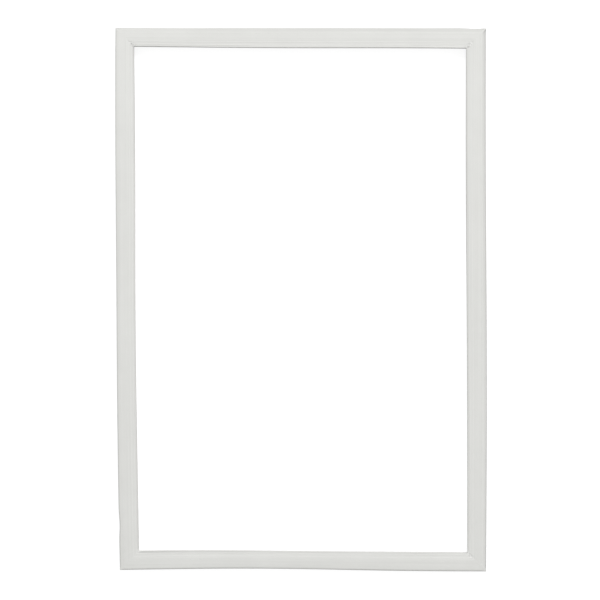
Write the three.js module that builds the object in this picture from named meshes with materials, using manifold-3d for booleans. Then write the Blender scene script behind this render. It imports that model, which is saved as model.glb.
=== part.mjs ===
// Magnetic door gasket of an undercounter refrigerator, lying face up with its push-in dart down.
// Units are millimetres and +Z is up. Seen from above, +Y is the top of the door.
// The gasket is one soft vinyl section, cut into four lengths, mitred and welded at the corners.
// Four flexible magnet strips lie loose in its pocket, one along each side.
// A section is drawn in u and z: u runs from the outer edge inwards, and z runs from the dart's tip up.

import * as THREE from "three";
import { mergeVertices } from "three/addons/utils/BufferGeometryUtils.js";
import Module from "manifold-3d";

// True rectangle over the outer lips
const FRAME_WIDTH = 547;
const FRAME_LENGTH = 800;

// How far each corner has slipped from the true rectangle as the soft frame lies, to the right and up
const CORNER_SLIP = {
  bottomLeft: [7, 2.3],
  bottomRight: [0.3, -0.3],
  topRight: [-0.8, 0.4],
  topLeft: [-0.2, 2.2],
};

// How far each side bows inwards between its corners: the sizes of one, two and three half waves
const SIDE_BOW = {
  bottom: [1.5, 0.6, 0],
  right: [-0.3, -0.6, 0.1],
  top: [0.3, -0.2, 0],
  left: [-1.8, 0.4, 0],
};

// Magnet strip, and its room in the pocket
const MAGNET_WIDTH = 10;
const MAGNET_THICKNESS = 3.2;
const MAGNET_SIDE_CLEARANCE = 0.4;
const MAGNET_SEAT_GAP = 0.3;
const MAGNET_HEAD_GAP = 0.4;
const MAGNET_SETBACK = 14;

// Walls
const SKIN = 0.6;
const FACE_SKIN = 0.7;
const BASE_THICKNESS = 1.2;

// Sealing face, with the lips that carry it on past the pocket
const FACE_SHOULDER = 2.2;
const FACE_CROWN = 0.1;
const OUTER_LIP_REACH = 4.8;
const OUTER_LIP_DROP = 0.9;
const INNER_LIP_REACH = 10.8;
const INNER_LIP_DROP = 1.4;
const LIP_ROOT = 0.8;
const LIP_EDGE_RADIUS = 0.35;

// Two fine ribs along the inner lip, placed from its edge
const LIP_RIB_INSETS = [3.4, 7.8];
const LIP_RIB_WIDTH = 0.9;
const LIP_RIB_HEIGHT = 0.15;

// Bellows below the pocket, and the balloon beside it
const BELLOWS_HEIGHT = 8.6;
const BELLOWS_FOLD = 2.8;
const BALLOON_SETBACK = 0.4;
const BALLOON_BULGE = 4.4;
const BALLOON_LEAN = 0.8;

// Base that seats on the door, with its own lips and seat ribs
const BASE_PAST_POCKET = 7.6;
const DOOR_LIP_OUTER_REACH = 3.6;
const DOOR_LIP_INNER_REACH = 2.8;
const DOOR_LIP_DROP = 0.6;
const DOOR_LIP_EDGE = 0.45;
const SEAT_RIB_WIDTH = 1.2;
const SEAT_RIB_HEIGHT = 0.4;
const SEAT_RIB_INSET_OUTER = 1.0;
const SEAT_RIB_INSET_INNER = 2.2;

// Dart that pushes into the door's groove
const DART_DEPTH = 7;
const DART_FROM_BASE_EDGE = 7.7;
const DART_STEM = 2.2;
const DART_TIP = 1.6;
const DART_ROOT_FILLET = 0.8;
const BARB_REACH = 2.1;
const BARB_RISE = 1.4;
const BARB_EDGE = 0.35;
const BARB_UNDERCUT = 0.5;
const UPPER_BARB_FROM_TIP = 3.6;
const LOWER_BARB_FROM_TIP = 1.3;

// Air holes, which let the chambers empty as the door closes
const VENT_RADIUS = 1;
const VENT_SIDES = 8;
const VENT_FROM_DART = 4.8;
const VENT_PLACES = [0.25, 0.75];
const POCKET_BLEED_PLACE = 0.5;
const VENT_OVERRUN = 0.3;

// Fineness
const CURVE_SEGMENTS = 4;
const STATION_SPACING = 100;
const MERGE_DISTANCE = 1e-4;

const VINYL = new THREE.MeshStandardMaterial({ color: 0xdfdfdc, roughness: 0.45, metalness: 0 });
const FERRITE = new THREE.MeshStandardMaterial({ color: 0x2b2724, roughness: 0.7, metalness: 0 });

// Places in the section that several pieces share
const pocket = {
  outer: OUTER_LIP_REACH,
  width: MAGNET_WIDTH + 2 * MAGNET_SIDE_CLEARANCE + 2 * SKIN,
  height: SKIN + MAGNET_SEAT_GAP + MAGNET_THICKNESS + MAGNET_HEAD_GAP + FACE_SKIN,
};
pocket.inner = pocket.outer + pocket.width;
const bandWidth = pocket.inner + INNER_LIP_REACH;
const base = { outer: pocket.outer, inner: pocket.inner + BASE_PAST_POCKET, under: DART_DEPTH };
base.top = base.under + BASE_THICKNESS;
const pocketUnder = base.top + BELLOWS_HEIGHT;
const pocketFloor = pocketUnder + SKIN;
const faceTop = pocketUnder + pocket.height;
const shoulderTop = faceTop - FACE_CROWN;
const kneeHeight = base.top + BELLOWS_HEIGHT / 2;
const dartCentre = base.outer + DART_FROM_BASE_EDGE;

// Height of the inner lip's top and underside at a distance u from the band's outer edge.
function innerLipTop(u) {
  const share = (u - pocket.inner) / INNER_LIP_REACH;
  return shoulderTop - share * INNER_LIP_DROP;
}

function innerLipUnder(u) {
  const share = (u - pocket.inner) / INNER_LIP_REACH;
  return innerLipTop(u) - THREE.MathUtils.lerp(LIP_ROOT, 2 * LIP_EDGE_RADIUS, share);
}

// One flank of the dart, from its tip up to the base. side is 1 on the inner flank and -1 on the outer one.
function dartFlank(side) {
  const stem = DART_STEM / 2;
  const points = [[DART_TIP / 2, 0]];
  for (const root of [LOWER_BARB_FROM_TIP, UPPER_BARB_FROM_TIP]) {
    const tip = root + BARB_RISE;
    if (root === UPPER_BARB_FROM_TIP) {
      points.push([stem, root]);
    }
    points.push([stem + BARB_REACH, tip]);
    points.push([stem + BARB_REACH - BARB_EDGE / 2, tip + BARB_EDGE]);
    points.push([stem, tip + BARB_EDGE - BARB_UNDERCUT]);
  }
  points.push([stem, base.under - DART_ROOT_FILLET]);
  points.push([stem + DART_ROOT_FILLET, base.under]);
  return points.map(([across, z]) => new THREE.Vector2(dartCentre + side * across, z));
}

// A low flat rib on the underside of the base, drawn in the direction of growing u.
function seatRib(centre) {
  const half = SEAT_RIB_WIDTH / 2;
  const draft = SEAT_RIB_HEIGHT / 4;
  return [
    new THREE.Vector2(centre - half, base.under),
    new THREE.Vector2(centre - half + draft, base.under - SEAT_RIB_HEIGHT),
    new THREE.Vector2(centre + half - draft, base.under - SEAT_RIB_HEIGHT),
    new THREE.Vector2(centre + half, base.under),
  ];
}

// A fine rib on top of the inner lip, drawn in the direction of falling u.
function lipRib(inset) {
  const centre = bandWidth - inset;
  const half = LIP_RIB_WIDTH / 2;
  return [
    new THREE.Vector2(centre + half, innerLipTop(centre + half)),
    new THREE.Vector2(centre + half / 3, innerLipTop(centre) + LIP_RIB_HEIGHT),
    new THREE.Vector2(centre - half / 3, innerLipTop(centre) + LIP_RIB_HEIGHT),
    new THREE.Vector2(centre - half, innerLipTop(centre - half)),
  ];
}

// The lip at one edge of the base, which droops until the door presses it flat.
// side is 1 at the inner edge and -1 at the outer one. The points run from the underside to the top.
function doorLip(edge, reach, side) {
  const tipTop = base.under - DOOR_LIP_DROP + DOOR_LIP_EDGE;
  const tipUnder = base.under - DOOR_LIP_DROP;
  return [
    new THREE.Vector2(edge, base.under),
    new THREE.Vector2(edge + side * (reach - DOOR_LIP_EDGE / 2), tipUnder),
    new THREE.Vector2(edge + side * reach, tipUnder + DOOR_LIP_EDGE / 2),
    new THREE.Vector2(edge + side * (reach - DOOR_LIP_EDGE / 2), tipTop),
    new THREE.Vector2(edge, base.top),
  ];
}

// The balloon's wall at the base. inset is 0 outside and one wall inside.
const balloonFoot = (inset) => base.inner - BALLOON_SETBACK - inset;

// Adds the balloon's wall to a path, from the base up to the inner lip.
function addBalloonWall(path, inset) {
  const foot = balloonFoot(inset);
  const head = foot - BALLOON_LEAN;
  const middle = (base.top + innerLipUnder(head)) / 2;
  path.lineTo(foot, base.top);
  path.quadraticCurveTo(foot + BALLOON_BULGE, middle, head, innerLipUnder(head));
}

// Adds the round edge of the inner lip to a path, from its underside to its top.
function addInnerLipEdge(path) {
  const centre = bandWidth - LIP_EDGE_RADIUS;
  const height = innerLipTop(centre) - LIP_EDGE_RADIUS;
  path.absarc(centre, height, LIP_EDGE_RADIUS, -Math.PI / 2, Math.PI / 2, false);
}

// Adds the crowned sealing face and the outer lip to a path, from the pocket's inner corner to its outer wall.
function addFaceAndOuterLip(path) {
  const edge = shoulderTop - OUTER_LIP_DROP - LIP_EDGE_RADIUS;
  path.lineTo(pocket.inner, shoulderTop);
  path.quadraticCurveTo(pocket.inner - FACE_SHOULDER / 2, faceTop, pocket.inner - FACE_SHOULDER, faceTop);
  path.lineTo(pocket.outer + FACE_SHOULDER, faceTop);
  path.quadraticCurveTo(pocket.outer + FACE_SHOULDER / 2, faceTop, pocket.outer, shoulderTop);
  path.absarc(LIP_EDGE_RADIUS, edge, LIP_EDGE_RADIUS, Math.PI / 2, Math.PI * 1.5, false);
  path.lineTo(pocket.outer, shoulderTop - LIP_ROOT);
}

function addPoints(path, points) {
  points.forEach((point) => path.lineTo(point.x, point.y));
}

// How wide a wall of the bellows is along u, where it leans.
const bellowsWallAcross = (SKIN * Math.hypot(BELLOWS_FOLD, BELLOWS_HEIGHT / 2)) / (BELLOWS_HEIGHT / 2);

function pocketHollow() {
  const hollow = new THREE.Shape();
  hollow.moveTo(pocket.outer + SKIN, pocketFloor);
  hollow.lineTo(pocket.inner - SKIN, pocketFloor);
  hollow.lineTo(pocket.inner - SKIN, faceTop - FACE_SKIN);
  hollow.lineTo(pocket.outer + SKIN, faceTop - FACE_SKIN);
  return hollow;
}

function bellowsHollow() {
  const outer = pocket.outer + bellowsWallAcross;
  const inner = pocket.inner - bellowsWallAcross;
  const hollow = new THREE.Shape();
  hollow.moveTo(outer, base.top);
  hollow.lineTo(inner, base.top);
  hollow.lineTo(inner - BELLOWS_FOLD, kneeHeight);
  hollow.lineTo(inner, pocketUnder);
  hollow.lineTo(outer, pocketUnder);
  hollow.lineTo(outer + BELLOWS_FOLD, kneeHeight);
  return hollow;
}

function balloonHollow() {
  const hollow = new THREE.Shape();
  hollow.moveTo(pocket.inner, base.top);
  addBalloonWall(hollow, SKIN);
  hollow.lineTo(pocket.inner, innerLipUnder(pocket.inner));
  hollow.lineTo(pocket.inner, pocketUnder);
  hollow.lineTo(pocket.inner - BELLOWS_FOLD, kneeHeight);
  return hollow;
}

// The outline of the extruded section, counterclockwise from the dart's tip.
function gasketSection() {
  const section = new THREE.Shape();
  const innerFlank = dartFlank(1);
  const outerFlank = dartFlank(-1);
  section.moveTo(outerFlank[0].x, outerFlank[0].y);
  addPoints(section, innerFlank);
  addPoints(section, seatRib(base.inner - SEAT_RIB_INSET_INNER));
  addPoints(section, doorLip(base.inner, DOOR_LIP_INNER_REACH, 1));
  addBalloonWall(section, 0);
  addInnerLipEdge(section);
  LIP_RIB_INSETS.forEach((inset) => addPoints(section, lipRib(inset)));
  addFaceAndOuterLip(section);
  section.lineTo(pocket.outer, pocketUnder);
  section.lineTo(pocket.outer + BELLOWS_FOLD, kneeHeight);
  addPoints(section, doorLip(base.outer, DOOR_LIP_OUTER_REACH, -1).reverse());
  addPoints(section, seatRib(base.outer + SEAT_RIB_INSET_OUTER));
  addPoints(section, outerFlank.reverse().slice(0, -1));
  return section;
}

function magnetSection() {
  const left = pocket.outer + SKIN + MAGNET_SIDE_CLEARANCE;
  const bottom = pocketFloor + MAGNET_SEAT_GAP;
  const section = new THREE.Shape();
  section.moveTo(left, bottom);
  section.lineTo(left + MAGNET_WIDTH, bottom);
  section.lineTo(left + MAGNET_WIDTH, bottom + MAGNET_THICKNESS);
  section.lineTo(left, bottom + MAGNET_THICKNESS);
  return section;
}

// The frame's outer corners, counterclockwise from above, as the soft frame lies.
function outerCorners() {
  const corner = (right, up, slip) =>
    new THREE.Vector2((right * FRAME_WIDTH) / 2 + slip[0], (up * FRAME_LENGTH) / 2 + slip[1]);
  return [
    corner(-1, -1, CORNER_SLIP.bottomLeft),
    corner(1, -1, CORNER_SLIP.bottomRight),
    corner(1, 1, CORNER_SLIP.topRight),
    corner(-1, 1, CORNER_SLIP.topLeft),
  ];
}

// The four sides. Each runs from one corner to the next, and its mitres say where a point u inside the edge starts.
function frameSides() {
  const corners = outerCorners();
  const names = ["bottom", "right", "top", "left"];
  const along = corners.map((start, i) => corners[(i + 1) % 4].clone().sub(start).normalize());
  const inwards = along.map((direction) => new THREE.Vector2(-direction.y, direction.x));
  const mitres = corners.map((corner, i) => {
    const before = inwards[(i + 3) % 4];
    const after = inwards[i];
    return before.clone().add(after).divideScalar(1 + before.dot(after));
  });
  return names.map((name, i) => ({
    name,
    start: corners[i],
    end: corners[(i + 1) % 4],
    startMitre: mitres[i],
    endMitre: mitres[(i + 1) % 4],
    along: along[i],
    inwards: inwards[i],
    length: corners[i].distanceTo(corners[(i + 1) % 4]),
    steps: Math.max(2, Math.round(corners[i].distanceTo(corners[(i + 1) % 4]) / STATION_SPACING)),
    bow: SIDE_BOW[name],
  }));
}

// Where a side's stations are, as shares of the run from its first mitre to its last, which is the next side's first.
function stationShares(side) {
  return Array.from({ length: side.steps }, (_, i) => i / side.steps);
}

// How far a side bows at a share of its run. Between two stations it is straight.
function bowAt(side, share) {
  const waves = (place) => side.bow.reduce((sum, size, i) => sum + size * Math.sin(Math.PI * (i + 1) * place), 0);
  const before = Math.min(Math.floor(share * side.steps), side.steps - 1);
  const past = share * side.steps - before;
  return THREE.MathUtils.lerp(waves(before / side.steps), waves((before + 1) / side.steps), past);
}

// The place of a point of the section on a side, at a share of its run.
function placeOnSide(side, u, z, share) {
  const start = side.start.clone().addScaledVector(side.startMitre, u);
  const end = side.end.clone().addScaledVector(side.endMitre, u);
  const point = start.lerp(end, share).addScaledVector(side.inwards, bowAt(side, share));
  return new THREE.Vector3(point.x, point.y, z);
}

// The share of a side's run at which a point u inside its edge lies a given distance from the first outer corner.
function shareAt(side, u, distance) {
  const first = u * side.startMitre.dot(side.along);
  const last = side.length + u * side.endMitre.dot(side.along);
  return (distance - first) / (last - first);
}

// A section run all the way round the frame. It starts as a lathed ring, whose turns then move to the stations.
function ringAround(section, stations) {
  const outline = section.getPoints(CURVE_SEGMENTS).reverse();
  const ring = new THREE.LatheGeometry([...outline, outline[0]], stations.length);
  const position = ring.getAttribute("position");
  for (let i = 0; i < position.count; i++) {
    const turn = Math.floor(i / (outline.length + 1));
    const point = outline[(i % (outline.length + 1)) % outline.length];
    const { side, share } = stations[turn % stations.length];
    const place = placeOnSide(side, point.x, point.y, share);
    position.setXYZ(i, place.x, place.y, place.z);
  }
  return ring;
}

const wasm = await Module();
wasm.setup();

function toSolid(geometry) {
  const bare = new THREE.BufferGeometry();
  bare.setAttribute("position", geometry.getAttribute("position"));
  bare.setIndex(geometry.index);
  const merged = mergeVertices(bare, MERGE_DISTANCE);
  const vertProperties = merged.getAttribute("position").array;
  const triVerts = new Uint32Array(merged.index.array);
  return new wasm.Manifold(new wasm.Mesh({ numProp: 3, vertProperties, triVerts }));
}

function toGeometry(solid) {
  const { vertProperties, triVerts } = solid.getMesh();
  const geometry = new THREE.BufferGeometry();
  geometry.setAttribute("position", new THREE.BufferAttribute(vertProperties, 3));
  geometry.setIndex(new THREE.BufferAttribute(triVerts, 1));
  const faceted = geometry.toNonIndexed();
  faceted.computeVertexNormals();
  return faceted;
}

// A round air hole on a side, through whatever lies between two heights.
function ventHole(side, u, share, from, to) {
  const height = to - from + 2 * VENT_OVERRUN;
  const hole = new THREE.CylinderGeometry(VENT_RADIUS, VENT_RADIUS, height, VENT_SIDES);
  const centre = placeOnSide(side, u, (from + to) / 2, share);
  hole.rotateX(Math.PI / 2);
  hole.translate(centre.x, centre.y, centre.z);
  return toSolid(hole);
}

// The bellows and the balloon breathe through the base, and the pocket through its floor.
function ventHoles(side) {
  const bellowsVent = dartCentre - VENT_FROM_DART;
  const balloonVent = (pocket.inner + balloonFoot(SKIN)) / 2;
  const pocketBleed = (pocket.outer + pocket.inner) / 2;
  const holes = [ventHole(side, pocketBleed, POCKET_BLEED_PLACE, pocketUnder, pocketFloor)];
  for (const place of VENT_PLACES) {
    holes.push(ventHole(side, bellowsVent, place, base.under, base.top));
    holes.push(ventHole(side, balloonVent, place, base.under, base.top));
  }
  return holes;
}

// The welded frame: the section run round the four mitres, less its hollows and air holes.
function gasketFrame(sides) {
  const stations = sides.flatMap((side) => stationShares(side).map((share) => ({ side, share })));
  const ring = (section) => toSolid(ringAround(section, stations));
  const gone = [pocketHollow(), bellowsHollow(), balloonHollow()].map(ring).concat(sides.flatMap(ventHoles));
  const frame = gone.reduce((whole, hollow) => whole.subtract(hollow), ring(gasketSection()));
  const mesh = new THREE.Mesh(toGeometry(frame), VINYL);
  mesh.name = "gasket_frame";
  return mesh;
}

// One magnet strip, cut square and stopping short of the mitres. It bends at the stations, as its pocket does.
function magnetStrip(side) {
  const setback = bandWidth + MAGNET_SETBACK;
  const nearest = setback / side.length;
  const bends = stationShares(side).filter((share) => share > nearest && share < 1 - nearest);
  const steps = bends.length + 1;
  const geometry = new THREE.ExtrudeGeometry(magnetSection(), { depth: steps, steps, bevelEnabled: false });
  const position = geometry.getAttribute("position");
  for (let i = 0; i < position.count; i++) {
    const u = position.getX(i);
    const shares = [shareAt(side, u, setback), ...bends, shareAt(side, u, side.length - setback)];
    const place = placeOnSide(side, u, position.getY(i), shares[Math.round(position.getZ(i))]);
    position.setXYZ(i, place.x, place.y, place.z);
  }
  const mesh = new THREE.Mesh(geometry, FERRITE);
  mesh.name = `magnet_strip_${side.name}`;
  return mesh;
}

function doorGasket() {
  const sides = frameSides();
  const group = new THREE.Group();
  group.add(gasketFrame(sides), ...sides.map(magnetStrip));
  const box = new THREE.Box3().setFromObject(group, true);
  const centre = box.getCenter(new THREE.Vector3());
  group.position.set(-centre.x, -centre.y, -box.min.z);
  return group;
}

export default doorGasket();
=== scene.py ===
"""Refrigerator door gasket: soft off-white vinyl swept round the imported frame, seen from straight above.

The section is drawn in millimetres in u and z, as in the CAD: u runs from the outer edge inwards, and z
from the dart's tip up. Everything is placed in metres, in the frame's own axes.
"""

import math

import bpy
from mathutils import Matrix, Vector, noise


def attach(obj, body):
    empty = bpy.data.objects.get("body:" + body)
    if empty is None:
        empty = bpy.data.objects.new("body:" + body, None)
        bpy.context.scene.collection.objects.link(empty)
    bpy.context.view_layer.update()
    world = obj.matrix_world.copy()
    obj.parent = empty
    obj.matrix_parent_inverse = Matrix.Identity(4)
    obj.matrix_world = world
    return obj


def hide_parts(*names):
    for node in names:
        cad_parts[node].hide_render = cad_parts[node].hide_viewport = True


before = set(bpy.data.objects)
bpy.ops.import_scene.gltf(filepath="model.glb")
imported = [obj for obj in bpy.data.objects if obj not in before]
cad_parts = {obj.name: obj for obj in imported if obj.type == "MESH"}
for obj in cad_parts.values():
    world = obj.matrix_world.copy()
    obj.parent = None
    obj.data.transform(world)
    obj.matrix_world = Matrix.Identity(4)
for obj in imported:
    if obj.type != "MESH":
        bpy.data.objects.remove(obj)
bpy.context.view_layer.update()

MM = 0.001

# True rectangle over the outer lips, and how the soft frame lies away from it
FRAME_WIDTH = 547
FRAME_LENGTH = 800
CORNER_SLIP = {
    "bottom_left": (7, 2.3),
    "bottom_right": (0.3, -0.3),
    "top_right": (-0.8, 0.4),
    "top_left": (-0.2, 2.2),
}
CORNER_SIGNS = {
    "bottom_left": (-1, -1),
    "bottom_right": (1, -1),
    "top_right": (1, 1),
    "top_left": (-1, 1),
}
SIDE_NAMES = ("bottom", "right", "top", "left")

# How far each side bows inwards, and how far its two lips draw in: sizes of one, two and three half waves
SIDE_BOW = {
    "bottom": (1.5, 0.6, 0),
    "right": (-0.3, -0.6, 0.1),
    "top": (0.3, -0.2, 0),
    "left": (-1.8, 0.4, 0),
}
CORNER_PINCH = {
    "bottom_left": -0.2,
    "bottom_right": 0.1,
    "top_right": -0.8,
    "top_left": 0.3,
}
SIDE_PINCH = {
    "bottom": (0.6, 0.2, -0.2),
    "right": (-0.4, -0.1, 0),
    "top": (-0.3, 0.1, 0.1),
    "left": (-0.4, -0.2, -0.3),
}

# Soft lips, at each side's start and end: how far their edges lift, and how far the very edge curls down.
# Both ease in from the mitres.
OUTER_LIP_LIFT = {
    "bottom": (0.7, 0.7),
    "right": (-0.4, -2.6),
    "top": (1.2, 1.2),
    "left": (0, 0),
}
INNER_LIP_LIFT = {
    "bottom": (0, 0),
    "right": (0, 0),
    "top": (0.5, 0.5),
    "left": (0, 0),
}
OUTER_EDGE_TURN = {
    "bottom": (2, 2),
    "right": (2.6, 2),
    "top": (0.2, 0.2),
    "left": (1.6, 2),
}
INNER_EDGE_TURN = {
    "bottom": (-1.6, 0),
    "right": (1.2, 1.8),
    "top": (0, 0),
    "left": (1.8, 1.4),
}
EDGE_TURN_POWER = 6
LIP_EASE = 5

# Dents in the outer lip: the side, the share of its run, the half length and the depth
LIP_DENTS = (
    ("left", 0.917, 24, 1.1),
    ("top", 0.03, 20, 0.9),
)

# Magnet pocket and walls
MAGNET_WIDTH = 10
MAGNET_THICKNESS = 3.2
MAGNET_SIDE_CLEARANCE = 0.4
MAGNET_SEAT_GAP = 0.3
MAGNET_HEAD_GAP = 0.4
SKIN = 0.6
FACE_SKIN = 0.7
BASE_THICKNESS = 1.2

# Sealing face and its lips
FACE_SHOULDER = 2.2
FACE_CROWN = 0.1
OUTER_LIP_REACH = 4.8
OUTER_LIP_DROP = 0.9
INNER_LIP_REACH = 10.8
INNER_LIP_DROP = 1.4
LIP_ROOT = 0.8
LIP_EDGE = 0.7
LIP_RIB_INSETS = (3.4, 7.8)
LIP_RIB_WIDTH = 0.9
LIP_RIB_HEIGHT = 0.15
LIP_RIB_CREST = 0.3

# Bellows, balloon and base
BELLOWS_HEIGHT = 8.6
BELLOWS_FOLD = 2.8
BALLOON_SETBACK = 0.4
BALLOON_BULGE = 4.4
BALLOON_LEAN = 0.8
BASE_PAST_POCKET = 7.6
DOOR_LIP_OUTER_REACH = 3.6
DOOR_LIP_INNER_REACH = 2.8
DOOR_LIP_DROP = 0.6
DOOR_LIP_EDGE = 0.45
SEAT_RIB_WIDTH = 1.2
SEAT_RIB_HEIGHT = 0.4
SEAT_RIB_INSET_OUTER = 1.0
SEAT_RIB_INSET_INNER = 2.2

# Dart
DART_DEPTH = 7
DART_FROM_BASE_EDGE = 7.7
DART_STEM = 2.2
DART_TIP = 1.6
DART_ROOT_FILLET = 0.8
BARB_REACH = 2.1
BARB_RISE = 1.4
BARB_EDGE = 0.35
BARB_UNDERCUT = 0.5
UPPER_BARB_FROM_TIP = 3.6
LOWER_BARB_FROM_TIP = 1.3

# Air holes through the base and the pocket's floor
VENT_RADIUS = 1
VENT_SIDES = 24
VENT_FROM_DART = 4.8
VENT_PLACES = (0.25, 0.75)
POCKET_BLEED_PLACE = 0.5
VENT_OVERRUN = 0.3

# Radii of the section's corners, and the share of a straight stretch that a corner may take up
FINE_RADIUS = 0.1
EDGE_RADIUS = 0.25
FOLD_RADIUS = 0.9
FACE_RADIUS = 6
CORNER_SHARE = 0.45
ARC_STEPS = 2
BALLOON_STEPS = 8
LIP_POINT_SPACING = 0.9

# Weld at each mitre: a low bead, and the spot that it leaves more or less crumpled on the inner lip
WELD_HEIGHT = 0.06
WELD_HALF_WIDTH = 0.7
CORNER_CRUMPLE = {
    "bottom_left": 0.05,
    "bottom_right": 0.6,
    "top_right": 0.7,
    "top_left": 0.7,
}
CRUMPLE_HEIGHT = 0.9
CRUMPLE_RADIUS = 7
CRUMPLE_FROM_EDGE = 4.5
CRUMPLE_PER_METRE = 300

# Stations that the section is swept through: first steps away from a mitre, then even ones
WELD_STEPS = (0.3, 0.7, 1.5, 2.4, 3.3, 4.2, 5.2, 6.5)
STATION_SPACING = 10
OUTLINE_SAMPLES = 100

# Weight of the larger faces in the smoothed normals
NORMAL_WEIGHT = 100

# How the soft upper half wanders over the base, and how its lips wave
WANDER = 0.2
WANDER_PER_METRE = 5
LIP_WAVE = 0.35
LIP_WAVE_PER_METRE = 11
LIP_SAG_WITH_PINCH = 0.5

# Places in the section that several pieces share
POCKET_OUTER = OUTER_LIP_REACH
POCKET_INNER = POCKET_OUTER + MAGNET_WIDTH + 2 * MAGNET_SIDE_CLEARANCE + 2 * SKIN
BAND_WIDTH = POCKET_INNER + INNER_LIP_REACH
BASE_OUTER = POCKET_OUTER
BASE_INNER = POCKET_INNER + BASE_PAST_POCKET
BASE_UNDER = DART_DEPTH
BASE_TOP = BASE_UNDER + BASE_THICKNESS
POCKET_UNDER = BASE_TOP + BELLOWS_HEIGHT
POCKET_FLOOR = POCKET_UNDER + SKIN
FACE_TOP = POCKET_FLOOR + MAGNET_SEAT_GAP + MAGNET_THICKNESS + MAGNET_HEAD_GAP + FACE_SKIN
SHOULDER_TOP = FACE_TOP - FACE_CROWN
KNEE_HEIGHT = BASE_TOP + BELLOWS_HEIGHT / 2
DART_CENTRE = BASE_OUTER + DART_FROM_BASE_EDGE

# Photograph: 600 pixels square, with the middle of the gasket's box at this pixel
PHOTO_SIDE = 600
PHOTO_MIDDLE = (300.9, 299.6)
MM_PER_PIXEL = 1.4747

# Camera: distances in metres, sensor in millimetres
CAMERA_DISTANCE = 4
VIEW_DEPTH = 50
SENSOR = 36

# Vinyl: colours, finish, and the patterns of its tone and relief
VINYL_DULL = (0.72, 0.722, 0.697, 1)
VINYL_CLEAR = (0.775, 0.777, 0.752, 1)
# Painted highlight: the paler colour on the crests of the inner lip's ribs stands in for light catching
# them.
VINYL_CREST_HIGHLIGHT = (0.805, 0.805, 0.785, 1)
FLECK_DARK = (0.56, 0.56, 0.54, 1)
FLECK_PALE = (0.9, 0.9, 0.88, 1)
VINYL_ROUGHNESS = (0.56, 0.66)
VINYL_IOR = 1.5
VINYL_SPECULAR = 0.35
DIE_LINES_PER_METRE = 2600
DIE_LINE_STRETCH = 0.006
DIE_LINE_DEPTH = 0.03
DIE_LINE_STRENGTH = 0.35
STREAKS_PER_METRE = 420
MOTTLE_PER_METRE = 22
UNEVEN_RANGE = (0.6, 1.4)
FLECKS_PER_METRE = 380
FLECK_RANGE = (0.42, 0.58)

# Ferrite rubber
FERRITE_DARK = (0.014, 0.012, 0.011, 1)
FERRITE_PALE = (0.032, 0.027, 0.024, 1)
FERRITE_ROUGHNESS = 0.7
GRAIN_PER_METRE = 1800
GRAIN_DEPTH = 0.05
GRAIN_STRENGTH = 0.4

# Studio: sizes in metres, angles in degrees
WHITE = (1, 1, 1, 1)
FLOOR_SIZE = 30
FLOOR_DROP = -0.0002
FLOOR_COLOUR = (0.34, 0.34, 0.34, 1)
FLOOR_ROUGHNESS = 0.9
FLOOR_LIFT = 0.86
HORIZON_LIGHT = 0.3
ZENITH_LIGHT = 0.68
KEY_ELEVATION = 50
KEY_TURN = 8
KEY_SIZE = 2.2
KEY_DISTANCE = 6.5
KEY_WATTS = 225


# Section

def inner_lip_top(u):
    return SHOULDER_TOP - INNER_LIP_DROP * (u - POCKET_INNER) / INNER_LIP_REACH


def inner_lip_under(u):
    share = (u - POCKET_INNER) / INNER_LIP_REACH
    return inner_lip_top(u) - (LIP_ROOT + share * (LIP_EDGE - LIP_ROOT))


def dart_flank(side):
    """One flank of the dart from its tip to the base, as corners of (u, z, radius)."""
    stem = DART_STEM / 2
    corners = [(DART_TIP / 2, 0, EDGE_RADIUS)]
    for root in (LOWER_BARB_FROM_TIP, UPPER_BARB_FROM_TIP):
        tip = root + BARB_RISE
        if root == UPPER_BARB_FROM_TIP:
            corners.append((stem, root, EDGE_RADIUS))
        corners.append((stem + BARB_REACH, tip, FINE_RADIUS))
        corners.append((stem + BARB_REACH - BARB_EDGE / 2, tip + BARB_EDGE, FINE_RADIUS))
        corners.append((stem, tip + BARB_EDGE - BARB_UNDERCUT, FINE_RADIUS))
    corners.append((stem, BASE_UNDER, DART_ROOT_FILLET))
    return [(DART_CENTRE + side * across, z, radius) for across, z, radius in corners]


def seat_rib(centre):
    """A low rib under the base, in the direction of growing u."""
    half = SEAT_RIB_WIDTH / 2
    top = half - SEAT_RIB_HEIGHT / 4
    return [
        (centre - half, BASE_UNDER, FINE_RADIUS),
        (centre - top, BASE_UNDER - SEAT_RIB_HEIGHT, FINE_RADIUS),
        (centre + top, BASE_UNDER - SEAT_RIB_HEIGHT, FINE_RADIUS),
        (centre + half, BASE_UNDER, FINE_RADIUS),
    ]


def lip_rib(inset):
    """A fine rib on top of the inner lip, in the direction of falling u."""
    centre = BAND_WIDTH - inset
    half = LIP_RIB_WIDTH / 2
    top = inner_lip_top(centre) + LIP_RIB_HEIGHT
    return [
        (centre + half, inner_lip_top(centre + half), FINE_RADIUS),
        (centre + LIP_RIB_CREST / 2, top, FINE_RADIUS),
        (centre - LIP_RIB_CREST / 2, top, FINE_RADIUS),
        (centre - half, inner_lip_top(centre - half), FINE_RADIUS),
    ]


def door_lip(edge, reach, side):
    """The drooping lip at an edge of the base, from its underside to its top."""
    under = BASE_UNDER - DOOR_LIP_DROP
    return [
        (edge, BASE_UNDER, EDGE_RADIUS),
        (edge + side * reach, under, DOOR_LIP_EDGE / 2),
        (edge + side * reach, under + DOOR_LIP_EDGE, DOOR_LIP_EDGE / 2),
        (edge, BASE_TOP, EDGE_RADIUS),
    ]


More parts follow.
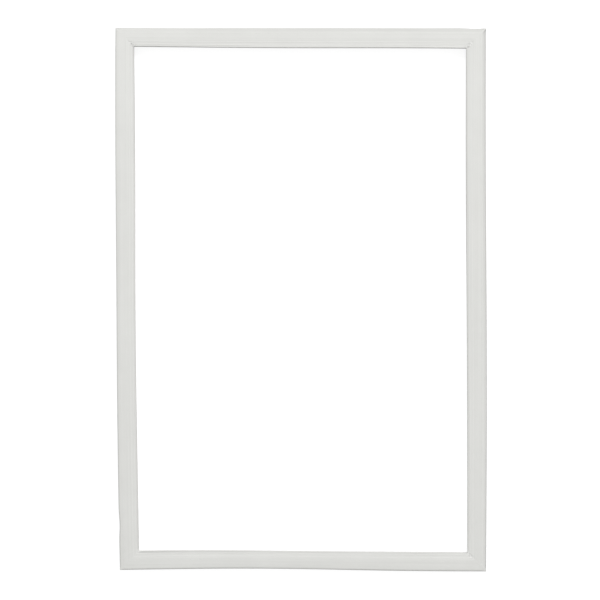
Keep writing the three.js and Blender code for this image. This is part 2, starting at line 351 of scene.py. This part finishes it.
def balloon_wall(inset):
    """The balloon's wall from the base up to the inner lip. inset is 0 outside and one wall inside."""
    foot = BASE_INNER - BALLOON_SETBACK - inset
    head = foot - BALLOON_LEAN
    start = Vector((foot, BASE_TOP))
    end = Vector((head, inner_lip_under(head)))
    bulge = Vector((foot + BALLOON_BULGE, (start.y + end.y) / 2))
    points = []
    for i in range(BALLOON_STEPS + 1):
        t = i / BALLOON_STEPS
        point = (1 - t) ** 2 * start + 2 * t * (1 - t) * bulge + t ** 2 * end
        points.append((point.x, point.y, 0))
    return points


def between(start, end):
    """Points along a straight stretch of a lip, so that it can curl and crumple."""
    count = math.ceil(math.dist(start[:2], end[:2]) / LIP_POINT_SPACING)
    points = []
    for i in range(1, count):
        t = i / count
        points.append((start[0] + t * (end[0] - start[0]), start[1] + t * (end[1] - start[1]), 0))
    return points


def inner_lip_corners(head):
    """The inner lip, from the balloon's wall under it, round its edge, to the end of its ribs."""
    under_edge = (BAND_WIDTH, inner_lip_under(BAND_WIDTH), LIP_EDGE / 2)
    corners = between(head, under_edge)
    corners.append(under_edge)
    corners.append((BAND_WIDTH, inner_lip_top(BAND_WIDTH), LIP_EDGE / 2))
    for inset in LIP_RIB_INSETS:
        rib = lip_rib(inset)
        corners += between(corners[-1], rib[0])
        corners += rib
    return corners


def outer_lip_corners():
    """The outer lip from the face's shoulder, round its edge, to the pocket's wall."""
    tip = SHOULDER_TOP - OUTER_LIP_DROP
    shoulder = (POCKET_OUTER, SHOULDER_TOP, FACE_RADIUS)
    edge = (0, tip, LIP_EDGE / 2)
    under_edge = (0, tip - LIP_EDGE, LIP_EDGE / 2)
    root = (POCKET_OUTER, SHOULDER_TOP - LIP_ROOT, EDGE_RADIUS)
    return [shoulder, *between(shoulder, edge), edge, under_edge, *between(under_edge, root), root]


def gasket_corners():
    """The outline of the section, counterclockwise from the dart's tip."""
    corners = dart_flank(1)
    corners += seat_rib(BASE_INNER - SEAT_RIB_INSET_INNER)
    corners += door_lip(BASE_INNER, DOOR_LIP_INNER_REACH, 1)
    corners += balloon_wall(0)
    corners += inner_lip_corners(corners[-1])
    corners.append((POCKET_INNER, SHOULDER_TOP, FACE_RADIUS))
    corners.append((POCKET_INNER - FACE_SHOULDER, FACE_TOP, FACE_RADIUS))
    corners.append((POCKET_OUTER + FACE_SHOULDER, FACE_TOP, FACE_RADIUS))
    corners += outer_lip_corners()
    corners.append((POCKET_OUTER, POCKET_UNDER, EDGE_RADIUS))
    corners.append((POCKET_OUTER + BELLOWS_FOLD, KNEE_HEIGHT, FOLD_RADIUS))
    corners += reversed(door_lip(BASE_OUTER, DOOR_LIP_OUTER_REACH, -1))
    corners += seat_rib(BASE_OUTER + SEAT_RIB_INSET_OUTER)
    corners += reversed(dart_flank(-1))
    return corners


def pocket_corners():
    return [
        (POCKET_OUTER + SKIN, POCKET_FLOOR, EDGE_RADIUS),
        (POCKET_INNER - SKIN, POCKET_FLOOR, EDGE_RADIUS),
        (POCKET_INNER - SKIN, FACE_TOP - FACE_SKIN, EDGE_RADIUS),
        (POCKET_OUTER + SKIN, FACE_TOP - FACE_SKIN, EDGE_RADIUS),
    ]


def bellows_corners():
    half_height = BELLOWS_HEIGHT / 2
    across = SKIN * math.hypot(BELLOWS_FOLD, half_height) / half_height
    outer = POCKET_OUTER + across
    inner = POCKET_INNER - across
    return [
        (outer, BASE_TOP, EDGE_RADIUS),
        (inner, BASE_TOP, EDGE_RADIUS),
        (inner - BELLOWS_FOLD, KNEE_HEIGHT, FOLD_RADIUS),
        (inner, POCKET_UNDER, EDGE_RADIUS),
        (outer, POCKET_UNDER, EDGE_RADIUS),
        (outer + BELLOWS_FOLD, KNEE_HEIGHT, FOLD_RADIUS),
    ]


def balloon_corners():
    return [
        (POCKET_INNER, BASE_TOP, EDGE_RADIUS),
        *balloon_wall(SKIN),
        (POCKET_INNER, inner_lip_under(POCKET_INNER), EDGE_RADIUS),
        (POCKET_INNER, POCKET_UNDER, EDGE_RADIUS),
        (POCKET_INNER - BELLOWS_FOLD, KNEE_HEIGHT, FOLD_RADIUS),
    ]


def rounded(corners):
    """The closed outline through the corners, with each corner drawn round."""
    outline = []
    for i, (u, z, radius) in enumerate(corners):
        here = Vector((u, z))
        if radius == 0:
            outline.append(here)
            continue
        before = Vector(corners[i - 1][:2]) - here
        after = Vector(corners[(i + 1) % len(corners)][:2]) - here
        half_angle = before.angle(after) / 2
        room = CORNER_SHARE * min(before.length, after.length)
        setback = min(radius / math.tan(half_angle), room)
        start = here + before.normalized() * setback
        end = here + after.normalized() * setback
        for step in range(ARC_STEPS + 1):
            t = step / ARC_STEPS
            outline.append((1 - t) ** 2 * start + 2 * t * (1 - t) * here + t ** 2 * end)
    return outline


def outward_normals(outline):
    """The outward normal at each point of a counterclockwise outline."""
    normals = []
    for i, _ in enumerate(outline):
        run = outline[(i + 1) % len(outline)] - outline[i - 1]
        normals.append(Vector((run.y, -run.x)).normalized())
    return normals


# Frame

def frame_sides():
    """The four sides, counterclockwise from above, each from one outer corner to the next."""
    half = (FRAME_WIDTH / 2, FRAME_LENGTH / 2)
    corners = []
    for name, signs in CORNER_SIGNS.items():
        slip = CORNER_SLIP[name]
        corners.append(Vector((signs[0] * half[0] + slip[0], signs[1] * half[1] + slip[1])))
    runs = [corners[(i + 1) % 4] - corners[i] for i in range(4)]
    inwards = [Vector((-run.y, run.x)).normalized() for run in runs]
    mitres = [(inwards[i - 1] + inwards[i]) / (1 + inwards[i - 1].dot(inwards[i])) for i in range(4)]
    pinches = list(CORNER_PINCH.values())
    crumples = list(CORNER_CRUMPLE.values())
    sides = []
    for i, name in enumerate(SIDE_NAMES):
        sides.append({
            "name": name,
            "start": corners[i],
            "end": corners[(i + 1) % 4],
            "start_mitre": mitres[i],
            "end_mitre": mitres[(i + 1) % 4],
            "start_pinch": pinches[i],
            "end_pinch": pinches[(i + 1) % 4],
            "start_crumple": crumples[i],
            "end_crumple": crumples[(i + 1) % 4],
            "inwards": inwards[i],
            "length": runs[i].length,
        })
    return sides


def waves(sizes, share):
    return sum(size * math.sin(math.pi * (i + 1) * share) for i, size in enumerate(sizes))


def on_side(side, u, share):
    """The place above the floor of a point u inside a side's edge, in millimetres."""
    start = side["start"] + side["start_mitre"] * u
    end = side["end"] + side["end_mitre"] * u
    bow = waves(SIDE_BOW[side["name"]], share)
    return start.lerp(end, share) + side["inwards"] * bow


def upper_share(z):
    """0 on the base and 1 from the pocket up, because the bellows lets the face wander."""
    t = min(max((z - BASE_TOP) / BELLOWS_HEIGHT, 0), 1)
    return t * t * (3 - 2 * t)


def lip_share(u, z):
    """How far out along a lip a point is: -1 at an outer edge, 1 at an inner edge, 0 between the lips."""
    if z < BASE_TOP:
        outer, outer_reach = BASE_OUTER, DOOR_LIP_OUTER_REACH
        inner, inner_reach = BASE_INNER, DOOR_LIP_INNER_REACH
    elif z > POCKET_UNDER:
        outer, outer_reach = POCKET_OUTER, OUTER_LIP_REACH
        inner, inner_reach = POCKET_INNER, INNER_LIP_REACH
    else:
        return 0
    if u < outer:
        return (u - outer) / outer_reach
    return max(u - inner, 0) / inner_reach


def along(values, side, share):
    """A side's value at a share of its run, eased off to nothing at the mitres."""
    start, end = values[side["name"]]
    t = min(min(share, 1 - share) * side["length"] / LIP_EASE, 1)
    return (start + share * (end - start)) * t * t * (3 - 2 * t)


def bump(t):
    """1 at nothing, falling smoothly to 0 at one on either side."""
    rise = max(1 - abs(t), 0)
    return rise * rise * (3 - 2 * rise)


def dent(side, share):
    """How far the outer lip is dented in at a share of a side's run."""
    depth = 0
    for name, place, half_length, deepest in LIP_DENTS:
        if name == side["name"]:
            depth += deepest * bump((share - place) * side["length"] / half_length)
    return depth


def softened(side, share, u, z):
    """Where a point of the section goes when the soft vinyl has wandered, waved and drawn in."""
    spot = on_side(side, BAND_WIDTH / 2, share) * MM
    wander = WANDER * noise.noise(Vector((spot.x, spot.y, 0)) * WANDER_PER_METRE)
    out = lip_share(u, z)
    pinch = waves(SIDE_PINCH[side["name"]], share)
    pinch += (1 - share) * side["start_pinch"] + share * side["end_pinch"]
    wave = LIP_WAVE * noise.noise(Vector((spot.x, spot.y, out)) * LIP_WAVE_PER_METRE)
    u += wander * upper_share(z) - pinch * out
    if z < BASE_TOP:
        return u, z
    z += out * out * (wave - LIP_SAG_WITH_PINCH * pinch)
    if out < 0:
        u -= out * dent(side, share)
        lift = along(OUTER_LIP_LIFT, side, share)
        turn = along(OUTER_EDGE_TURN, side, share)
    else:
        lift = along(INNER_LIP_LIFT, side, share)
        turn = along(INNER_EDGE_TURN, side, share)
    return u, z + abs(out) * lift - abs(out) ** EDGE_TURN_POWER * turn


def on_inner_lip(u, z):
    """Whether a point of the section is on top of the inner lip."""
    return u > POCKET_INNER and z > inner_lip_under(u) + LIP_EDGE / 2


def crest(u, z):
    """1 on the crests of the inner lip's ribs, where a paler colour is painted on as a highlight."""
    if not on_inner_lip(u, z):
        return 0
    return min(max((z - inner_lip_top(u)) / LIP_RIB_HEIGHT, 0), 1)


def crumple(side, share, u, z):
    """How crumpled the weld has left a point of the inner lip: most in the middle of its spot."""
    if not on_inner_lip(u, z):
        return 0
    most = side["start_crumple"] if share < 0.5 else side["end_crumple"]
    from_mitre = min(share, 1 - share) * (side["length"] - 2 * u)
    return most * bump(math.hypot(from_mitre, BAND_WIDTH - CRUMPLE_FROM_EDGE - u) / CRUMPLE_RADIUS)


def weld_swell(side, share, u, z):
    """How far the weld stands proud at a point: its low bead, and the lumps of the crumpled spot."""
    spot = on_side(side, u, share) * MM
    lump = noise.noise(Vector((spot.x, spot.y, 0)) * CRUMPLE_PER_METRE)
    bead = bump(min(share, 1 - share) * side["length"] / WELD_HALF_WIDTH)
    return WELD_HEIGHT * bead + CRUMPLE_HEIGHT * lump * crumple(side, share, u, z)


def stations(sides):
    """Where the section stands round the frame: the side, the share of its run and the distance run."""
    places = []
    run = 0
    for side in sides:
        length = side["length"]
        count = round(length / STATION_SPACING)
        near = [step / length for step in WELD_STEPS]
        even = [i / count for i in range(1, count)]
        shares = [0, *near, *even, *(1 - share for share in reversed(near))]
        places += [(side, share, run + share * length) for share in shares]
        run += length
    return places


def middle_of_outline(sides):
    """The middle of the frame's outer edge, which the frame's own axes run through."""
    edge = [on_side(side, 0, i / OUTLINE_SAMPLES) for side in sides for i in range(OUTLINE_SAMPLES)]
    xs = [point.x for point in edge]
    ys = [point.y for point in edge]
    return Vector(((min(xs) + max(xs)) / 2, (min(ys) + max(ys)) / 2))


def add_ring(mesh, sides, corners, hollow=False):
    """Adds a section run all the way round to the mesh's lists. A hollow's faces look inwards."""
    outline = rounded(corners)
    normals = outward_normals(outline)
    across = [0]
    for i, point in enumerate(outline):
        across.append(across[-1] + (outline[(i + 1) % len(outline)] - point).length)
    middle = middle_of_outline(sides)
    places = stations(sides)
    first = len(mesh["verts"])
    count = len(outline)
    for side, share, _ in places:
        for point, normal in zip(outline, normals):
            proud = point if hollow else point + normal * weld_swell(side, share, *point)
            u, z = softened(side, share, *proud)
            spot = on_side(side, u, share) - middle
            mesh["verts"].append((spot.x * MM, spot.y * MM, max(z, 0) * MM))
            # The second mark is the crest share, which carries the painted highlight on the ribs' crests.
            mesh["vertex_marks"].append((crumple(side, share, *point), crest(*point)))
    total_run = sum(side["length"] for side in sides)
    for i, (_, _, run) in enumerate(places):
        next_run = places[i + 1][2] if i + 1 < len(places) else total_run
        for j in range(count):
            k = (j + 1) % count
            here = first + i * count
            there = first + ((i + 1) % len(places)) * count
            quad = [here + j, here + k, there + k, there + j]
            corner_runs = ((j, run), (j + 1, run), (j + 1, next_run), (j, next_run))
            runs = [(across[index], run_here) for index, run_here in corner_runs]
            if hollow:
                quad.reverse()
                runs.reverse()
            mesh["faces"].append(quad)
            mesh["runs"] += runs
            mesh["marks"] += [mesh["vertex_marks"][index] for index in quad]


def vent_holes():
    """The air holes of a side: place in its run, distance from its edge, and the wall's two heights."""
    bellows = DART_CENTRE - VENT_FROM_DART
    balloon = (POCKET_INNER + BASE_INNER - BALLOON_SETBACK - SKIN) / 2
    holes = [(POCKET_BLEED_PLACE, (POCKET_OUTER + POCKET_INNER) / 2, POCKET_UNDER, POCKET_FLOOR)]
    for place in VENT_PLACES:
        holes.append((place, bellows, BASE_UNDER, BASE_TOP))
        holes.append((place, balloon, BASE_UNDER, BASE_TOP))
    return holes


def cut_vents(piece, sides):
    """Drills the air holes, so that the bellows, the balloon and the pocket can breathe."""
    middle = middle_of_outline(sides)
    drills = []
    for side in sides:
        for place, u, low, high in vent_holes():
            spot = (on_side(side, u, place) - middle) * MM
            bpy.ops.mesh.primitive_cylinder_add(
                vertices=VENT_SIDES,
                radius=VENT_RADIUS * MM,
                depth=(high - low + 2 * VENT_OVERRUN) * MM,
                location=(spot.x, spot.y, (low + high) / 2 * MM),
            )
            drills.append(bpy.context.object)
    with bpy.context.temp_override(active_object=drills[0], selected_editable_objects=drills):
        bpy.ops.object.join()
    drill = drills[0]
    cut = piece.modifiers.new("air_holes", "BOOLEAN")
    cut.operation = "DIFFERENCE"
    cut.solver = "EXACT"
    cut.object = drill
    with bpy.context.temp_override(object=piece, active_object=piece):
        bpy.ops.object.modifier_apply(modifier=cut.name)
    bpy.data.objects.remove(drill)


def make_gasket(sides):
    lists = {"verts": [], "vertex_marks": [], "faces": [], "runs": [], "marks": []}
    add_ring(lists, sides, gasket_corners())
    for corners in (pocket_corners(), bellows_corners(), balloon_corners()):
        add_ring(lists, sides, corners, hollow=True)
    mesh = bpy.data.meshes.new("vinyl_gasket")
    mesh.from_pydata(lists["verts"], [], lists["faces"])
    runs = mesh.uv_layers.new(name="runs")
    runs.data.foreach_set("uv", [value * MM for pair in lists["runs"] for value in pair])
    marks = mesh.uv_layers.new(name="marks")
    marks.data.foreach_set("uv", [value for pair in lists["marks"] for value in pair])
    mesh.update()
    piece = bpy.data.objects.new("vinyl_gasket", mesh)
    bpy.context.collection.objects.link(piece)
    cut_vents(piece, sides)
    mesh = piece.data
    mesh.polygons.foreach_set("use_smooth", [True] * len(mesh.polygons))
    even = piece.modifiers.new("even_normals", "WEIGHTED_NORMAL")
    even.weight = NORMAL_WEIGHT
    even.keep_sharp = False
    return piece


# Materials

def new_material(name):
    material = bpy.data.materials.new(name)
    material.use_nodes = True
    tree = material.node_tree
    return material, tree, tree.nodes["Principled BSDF"]


def add_node(tree, kind, inputs=None, **settings):
    node = tree.nodes.new(kind)
    for name, value in settings.items():
        setattr(node, name, value)
    for name, value in (inputs or {}).items():
        if isinstance(value, bpy.types.NodeSocket):
            tree.links.new(value, node.inputs[name])
        else:
            node.inputs[name].default_value = value
    return node


def noise_at(tree, place, per_metre, detail):
    node = add_node(tree, "ShaderNodeTexNoise", {"Vector": place, "Scale": per_metre, "Detail": detail})
    return node.outputs["Fac"]


def mixed(tree, share, low, high):
    """The colour between two others at a share."""
    node = add_node(tree, "ShaderNodeMix", {"Factor": share, "A": low, "B": high}, data_type="RGBA")
    return node.outputs["Result"]


def add_relief(tree, shader, height, strength, depth):
    relief = add_node(tree, "ShaderNodeBump", {
        "Height": height, "Strength": strength, "Distance": depth * MM,
    })
    tree.links.new(relief.outputs["Normal"], shader.inputs["Normal"])


def vinyl_tone(tree, die_runs, mottle):
    """0 where the vinyl is dull and 1 where it is clear, in streaks along it and in a faint mottle."""
    streaks = noise_at(tree, die_runs, STREAKS_PER_METRE, detail=1)
    uneven = add_node(tree, "ShaderNodeMath", {0: mottle, 1: streaks}, operation="ADD")
    tone = add_node(tree, "ShaderNodeMapRange", {
        "Value": uneven.outputs["Value"], "From Min": UNEVEN_RANGE[0], "From Max": UNEVEN_RANGE[1],
    })
    return tone.outputs["Result"]


def fleck_tone(tree, place):
    """0 on the dark flecks of a weld's end and 1 on the pale ones."""
    tone = add_node(tree, "ShaderNodeMapRange", {
        "Value": noise_at(tree, place, FLECKS_PER_METRE, detail=1),
        "From Min": FLECK_RANGE[0],
        "From Max": FLECK_RANGE[1],
    })
    return tone.outputs["Result"]


def vinyl_material():
    """Soft extruded vinyl: die lines along it, a faint mottle, a painted highlight on the rib crests, and
    flecked weld ends.
    """
    material, tree, shader = new_material("soft_vinyl")
    runs = add_node(tree, "ShaderNodeUVMap", uv_map="runs")
    marks = add_node(tree, "ShaderNodeUVMap", uv_map="marks")
    mark = add_node(tree, "ShaderNodeSeparateXYZ", {"Vector": marks.outputs["UV"]})
    place = add_node(tree, "ShaderNodeTexCoord").outputs["Object"]
    stretched = add_node(
        tree, "ShaderNodeVectorMath", {0: runs.outputs["UV"], 1: (1, DIE_LINE_STRETCH, 1)},
        operation="MULTIPLY",
    )
    die_runs = stretched.outputs["Vector"]
    mottle = noise_at(tree, place, MOTTLE_PER_METRE, detail=4)
    body = mixed(tree, vinyl_tone(tree, die_runs, mottle), VINYL_DULL, VINYL_CLEAR)
    # Painted highlight: the crests of the inner lip's ribs are mixed towards a paler colour, as if lit.
    crest_highlighted = mixed(tree, mark.outputs["Y"], body, VINYL_CREST_HIGHLIGHT)
    flecked = mixed(tree, fleck_tone(tree, place), FLECK_DARK, FLECK_PALE)
    colour = mixed(tree, mark.outputs["X"], crest_highlighted, flecked)
    roughness = add_node(tree, "ShaderNodeMapRange", {
        "Value": mottle, "To Min": VINYL_ROUGHNESS[0], "To Max": VINYL_ROUGHNESS[1],
    })
    tree.links.new(colour, shader.inputs["Base Color"])
    tree.links.new(roughness.outputs["Result"], shader.inputs["Roughness"])
    die_lines = noise_at(tree, die_runs, DIE_LINES_PER_METRE, detail=2)
    add_relief(tree, shader, die_lines, DIE_LINE_STRENGTH, DIE_LINE_DEPTH)
    shader.inputs["IOR"].default_value = VINYL_IOR
    shader.inputs["Specular IOR Level"].default_value = VINYL_SPECULAR
    return material


def ferrite_material():
    """Ferrite powder bound in rubber: nearly black, matt and finely grained."""
    material, tree, shader = new_material("ferrite_rubber")
    place = add_node(tree, "ShaderNodeTexCoord").outputs["Object"]
    grain = noise_at(tree, place, GRAIN_PER_METRE, detail=3)
    colour = mixed(tree, grain, FERRITE_DARK, FERRITE_PALE)
    tree.links.new(colour, shader.inputs["Base Color"])
    add_relief(tree, shader, grain, GRAIN_STRENGTH, GRAIN_DEPTH)
    shader.inputs["Roughness"].default_value = FERRITE_ROUGHNESS
    return material


# Studio

def background_rays(tree):
    """1 for the rays that show the background: straight from the camera, mirrored or through glass."""
    path = add_node(tree, "ShaderNodeLightPath")
    mirrored = add_node(
        tree, "ShaderNodeMath", {0: path.outputs["Is Camera Ray"], 1: path.outputs["Is Glossy Ray"]},
        operation="MAXIMUM",
    )
    shown = add_node(
        tree, "ShaderNodeMath", {0: mirrored.outputs["Value"], 1: path.outputs["Is Transmission Ray"]},
        operation="MAXIMUM",
    )
    return shown.outputs["Value"]


def make_floor():
    """A white floor that looks lighter than it lights, as a paper sweep does, with a faint shadow."""
    bpy.ops.mesh.primitive_plane_add(size=FLOOR_SIZE, location=(0, 0, FLOOR_DROP))
    floor = bpy.context.object
    floor.name = "floor"
    material, tree, shader = new_material("paper_sweep")
    shader.inputs["Base Color"].default_value = FLOOR_COLOUR
    shader.inputs["Roughness"].default_value = FLOOR_ROUGHNESS
    shader.inputs["Specular IOR Level"].default_value = 0
    lift = add_node(
        tree, "ShaderNodeMath", {0: background_rays(tree), 1: FLOOR_LIFT}, operation="MULTIPLY"
    )
    shader.inputs["Emission Color"].default_value = WHITE
    tree.links.new(lift.outputs["Value"], shader.inputs["Emission Strength"])
    floor.data.materials.append(material)


def make_world():
    world = bpy.data.worlds.new("studio")
    bpy.context.scene.world = world
    world.use_nodes = True
    tree = world.node_tree
    background = tree.nodes["Background"]
    background.inputs["Color"].default_value = WHITE
    place = add_node(tree, "ShaderNodeTexCoord")
    direction = add_node(tree, "ShaderNodeSeparateXYZ", {"Vector": place.outputs["Generated"]})
    light = add_node(tree, "ShaderNodeMapRange", {
        "Value": direction.outputs["Z"], "To Min": HORIZON_LIGHT, "To Max": ZENITH_LIGHT,
    })
    strength = add_node(tree, "ShaderNodeMapRange", {
        "Value": background_rays(tree), "To Min": light.outputs["Result"], "To Max": 1,
    })
    tree.links.new(strength.outputs["Result"], background.inputs["Strength"])


def make_key_light():
    """A large soft light beyond the top of the gasket."""
    elevation = math.radians(KEY_ELEVATION)
    turn = math.radians(KEY_TURN)
    level = math.cos(elevation)
    back = Vector((math.sin(turn) * level, math.cos(turn) * level, math.sin(elevation)))
    light = bpy.data.lights.new("key", "AREA")
    light.shape = "DISK"
    light.size = KEY_SIZE
    light.energy = KEY_WATTS
    lamp = bpy.data.objects.new("key", light)
    lamp.location = back * KEY_DISTANCE
    lamp.rotation_mode = "QUATERNION"
    lamp.rotation_quaternion = back.to_track_quat("Z", "Y")
    bpy.context.collection.objects.link(lamp)


def make_camera():
    """Straight above the gasket's face, at the photograph's scale and framing."""
    camera = bpy.data.cameras.new("camera")
    camera.sensor_width = SENSOR
    camera.lens = SENSOR * CAMERA_DISTANCE / (PHOTO_SIDE * MM_PER_PIXEL * MM)
    camera.clip_end = VIEW_DEPTH
    view = bpy.data.objects.new("camera", camera)
    right = (PHOTO_SIDE / 2 - PHOTO_MIDDLE[0]) * MM_PER_PIXEL * MM
    up = (PHOTO_MIDDLE[1] - PHOTO_SIDE / 2) * MM_PER_PIXEL * MM
    view.location = (right, up, FACE_TOP * MM + CAMERA_DISTANCE)
    bpy.context.collection.objects.link(view)
    bpy.context.scene.camera = view


make_camera()
gasket_sides = frame_sides()
gasket = make_gasket(gasket_sides)
gasket.data.materials.append(vinyl_material())
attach(gasket, "root")
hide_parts("gasket_frame")

ferrite = ferrite_material()
for side_name in SIDE_NAMES:
    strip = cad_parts[f"magnet_strip_{side_name}"]
    for slot in strip.material_slots:
        slot.material = ferrite

make_floor()
make_world()
make_key_light()

bpy.context.scene.view_settings.view_transform = "Standard"
